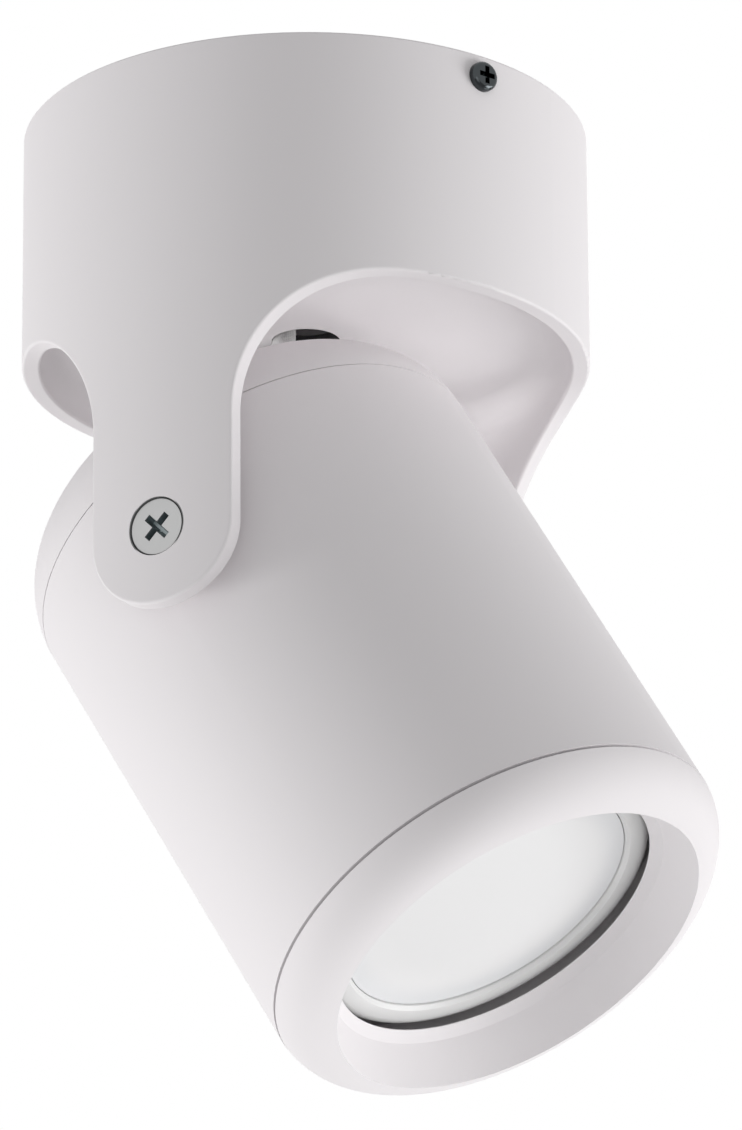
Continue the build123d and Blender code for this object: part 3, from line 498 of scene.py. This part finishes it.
live_route = power_route(-10, -PAIR_SHIFT, -5)
neutral_route = power_route(10, PAIR_SHIFT, 5)
live = wire("live_lead_wire", live_route, LEAD_RADIUS, live_colour)
neutral = wire("neutral_lead_wire", neutral_route, LEAD_RADIUS, neutral_colour)
earth = wire("earth_lead_wire", earth_route, LEAD_RADIUS, earth_colour)
jumper = wire("earth_jumper_wire", jumper_route, LEAD_RADIUS, earth_colour, bends=False)
sleeve = wire("lead_sleeve_tube", sleeve_route, SLEEVE_RADIUS, sleeve_weave, SLEEVE_WALL)
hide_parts("live_lead")
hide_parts("neutral_lead")
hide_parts("earth_lead")
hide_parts("earth_jumper")
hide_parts("lead_sleeve")

# ---------------------------------------------------------------- room

FLOOR_HEIGHT = -2.4
FLOOR_SIZE = 12.0
FLOOR_GLOW = 0.9   # how much of its own white the camera sees


def studio_floor():
    """A pale matt floor, a storey below the light, that keeps soft shadows."""
    finish = Finish("studio_floor")
    seen = Signal(finish, finish.node("LightPath").outputs["Is Camera Ray"])
    matt = finish.node("BsdfDiffuse", None, {"Color": (0.80, 0.80, 0.80, 1)})
    glow = finish.node("Emission", None, {"Color": (1, 1, 1, 1), "Strength": 1.0})
    layers = {0: seen * FLOOR_GLOW, 1: Signal(finish, matt.outputs[0]), 2: Signal(finish, glow.outputs[0])}
    mixed = finish.node("MixShader", None, layers)
    finish.tree.links.new(mixed.outputs[0], finish.output.inputs[0])
    return finish.material


shape = bmesh.new()
bmesh.ops.create_grid(shape, x_segments=1, y_segments=1, size=FLOOR_SIZE / 2)
bmesh.ops.translate(shape, verts=shape.verts, vec=(0, 0, FLOOR_HEIGHT))
floor_mesh = bpy.data.meshes.new("floor")
shape.to_mesh(floor_mesh)
shape.free()
floor_mesh.materials.append(studio_floor())
floor = bpy.data.objects.new("floor", floor_mesh)
bpy.context.scene.collection.objects.link(floor)

AMBIENT = 0.43


class Sky(Finish):
    """The world's own node tree, built with the same calls."""

    def __init__(self, world):
        world.use_nodes = True
        self.tree = world.node_tree
        self.tree.nodes.clear()
        self.output = self.node("OutputWorld")


world = bpy.data.worlds.new("studio")
bpy.context.scene.world = world
sky = Sky(world)
rays = sky.node("LightPath")
seen, mirrored, through = [
    Signal(sky, rays.outputs[kind]) for kind in ("Is Camera Ray", "Is Glossy Ray", "Is Transmission Ray")
]
soft = sky.node("Background", None, {"Color": (1.0, 0.995, 1.0, 1), "Strength": AMBIENT})
white = sky.node("Background", None, {"Color": (1, 1, 1, 1), "Strength": 1.0})
behind_all = seen.larger(mirrored).larger(through)
layers = {0: behind_all, 1: Signal(sky, soft.outputs[0]), 2: Signal(sky, white.outputs[0])}
sky.tree.links.new(sky.node("MixShader", None, layers).outputs[0], sky.output.inputs[0])

# ---------------------------------------------------------------- camera and light

# The camera stands to the right of the front ear and below the head, and looks up
CAMERA_PLACE = mm(522.432, -879.448, -438.539)
AZIMUTH = radians(30.21)
ELEVATION = radians(-20.13)
ROLL = radians(-0.394)
FRAME_HEIGHT_PX = 1130
FOCAL_LENGTH_PX = 7807
SENSOR_WIDTH = 36.0

back = Vector((sin(AZIMUTH) * cos(ELEVATION), -cos(AZIMUTH) * cos(ELEVATION), sin(ELEVATION)))
level_right = (-back).cross(Vector((0, 0, 1))).normalized()
level_up = level_right.cross(-back)
right = level_right * cos(ROLL) + level_up * sin(ROLL)
up = level_up * cos(ROLL) - level_right * sin(ROLL)
camera_data = bpy.data.cameras.new("camera")
camera_data.sensor_width = SENSOR_WIDTH
camera_data.lens = SENSOR_WIDTH * FOCAL_LENGTH_PX / FRAME_HEIGHT_PX
camera_data.clip_start = 0.05
camera_data.clip_end = 50.0
camera = bpy.data.objects.new("camera", camera_data)
bpy.context.scene.collection.objects.link(camera)
camera.matrix_world = Matrix.Translation(CAMERA_PLACE) @ Matrix((right, up, back)).transposed().to_4x4()
bpy.context.scene.camera = camera

LAMP_DISTANCE = 1.6


def soft_box(name, azimuth, elevation, watts, size=0.9):
    """Puts a square soft box round the light, facing it: azimuth 0 is in front of the front ear."""
    turn, rise = radians(azimuth), radians(elevation)
    aim = Vector((sin(turn) * cos(rise), -cos(turn) * cos(rise), sin(rise)))
    data = bpy.data.lights.new(name, "AREA")
    data.shape = "SQUARE"
    data.size = size
    data.energy = watts
    lamp = bpy.data.objects.new(name, data)
    bpy.context.scene.collection.objects.link(lamp)
    lamp.rotation_mode = "QUATERNION"
    lamp.rotation_quaternion = aim.to_track_quat("Z", "Y")
    lamp.location = PIVOT + aim * LAMP_DISTANCE


soft_box("soft_box_left", 300, -20, 8.7, 0.5)
soft_box("soft_box_right", 120, -20, 13.8)
soft_box("soft_box_front", 30, -20, 2.6)
soft_box("soft_box_low_left", 280, -50, 6.7)
soft_box("soft_box_low_back", 150, -50, 3.7)

bpy.context.scene.view_settings.view_transform = "Standard"
